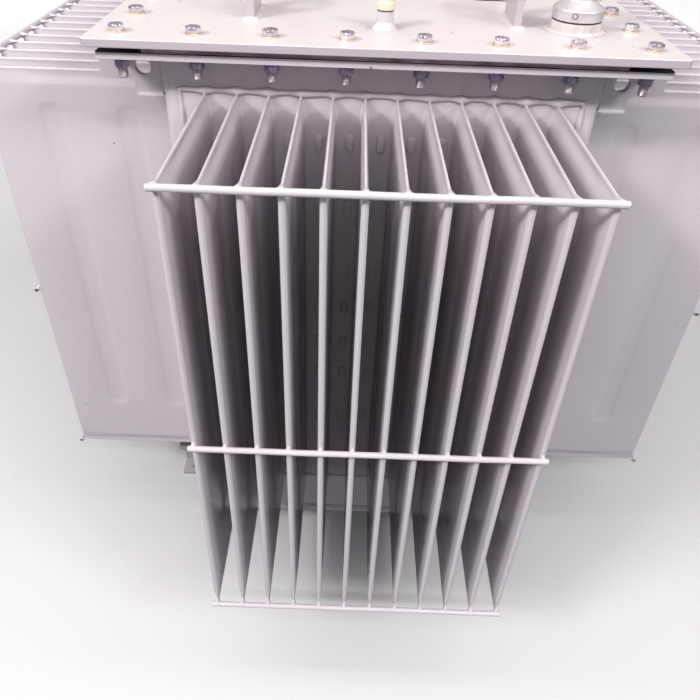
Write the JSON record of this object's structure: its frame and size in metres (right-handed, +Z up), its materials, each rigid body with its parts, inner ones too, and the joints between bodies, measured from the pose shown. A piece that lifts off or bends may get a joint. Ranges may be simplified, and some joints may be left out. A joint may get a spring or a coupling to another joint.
{
  "type": "power transformer",
  "caption": "Oil-filled power transformer: tank with folded fin walls, bolted cover, lifting lugs, bushings and channel skids.",
  "frame": {"origin": "on the floor, at the middle of the footprint of the fins and tank", "axes": "+Z up, +Y along the tank's length from its front end to its rear end, +X across it to the right as seen from the front"},
  "size_m": [1.2346, 1.8586, 1.3951],
  "materials": {
    "tank_paint": "semi-gloss pale grey enamel",
    "cover_paint": "semi-gloss warm white enamel",
    "skid_paint": "satin grey enamel",
    "gasket_rubber": "matte red-brown rubber",
    "seal_rubber": "matte black rubber",
    "cream_plastic": "satin cream plastic",
    "fitting_metal": "satin cast aluminium",
    "porcelain": "glossy brown glaze",
    "terminal_metal": "tinned copper",
    "bolt_zinc": "zinc plated with a yellow tint",
    "core_steel": "dark laminated steel"
  },
  "bodies": {
    "root": {"front_skid": "skid_paint", "rear_skid": "skid_paint", "tank_floor": "tank_paint", "tank_shell": "tank_paint", "top_flange": "tank_paint", "cover_gasket": "gasket_rubber", "cover_plate": "cover_paint", "front_fin_wall": "tank_paint", "right_fin_wall": "tank_paint", "rear_fin_wall": "tank_paint", "left_fin_wall": "tank_paint", "front_upper_tie_rod": "tank_paint", "front_middle_tie_rod": "tank_paint", "front_lower_tie_rod": "tank_paint", "right_upper_tie_rod": "tank_paint", "right_middle_tie_rod": "tank_paint", "right_lower_tie_rod": "tank_paint", "rear_upper_tie_rod": "tank_paint", "rear_middle_tie_rod": "tank_paint", "rear_lower_tie_rod": "tank_paint", "left_upper_tie_rod": "tank_paint", "left_middle_tie_rod": "tank_paint", "left_lower_tie_rod": "tank_paint", "front_left_tank_lug": "tank_paint", "front_right_tank_lug": "tank_paint", "rear_left_tank_lug": "tank_paint", "rear_right_tank_lug": "tank_paint", "front_left_cover_lug": "cover_paint", "front_right_cover_lug": "cover_paint", "rear_left_cover_lug": "cover_paint", "rear_right_cover_lug": "cover_paint", "thermometer_pocket": "tank_paint", "pocket_cap": "cream_plastic", "filler_collar": "tank_paint", "filler_seal": "seal_rubber", "filler_neck": "fitting_metal", "filler_cap": "fitting_metal", "hv_bushing_1": "porcelain", "hv_bushing_2": "porcelain", "hv_bushing_3": "porcelain", "hv_terminal_1": "terminal_metal", "hv_terminal_2": "terminal_metal", "hv_terminal_3": "terminal_metal", "lv_bushing_1": "porcelain", "lv_bushing_2": "porcelain", "lv_bushing_3": "porcelain", "lv_bushing_4": "porcelain", "lv_terminal_1": "terminal_metal", "lv_terminal_2": "terminal_metal", "lv_terminal_3": "terminal_metal", "lv_terminal_4": "terminal_metal", "tap_switch": "fitting_metal", "drain_valve": "tank_paint", "drain_cap": "fitting_metal", "core_and_windings": "core_steel"}
  },
  "joints": []
}
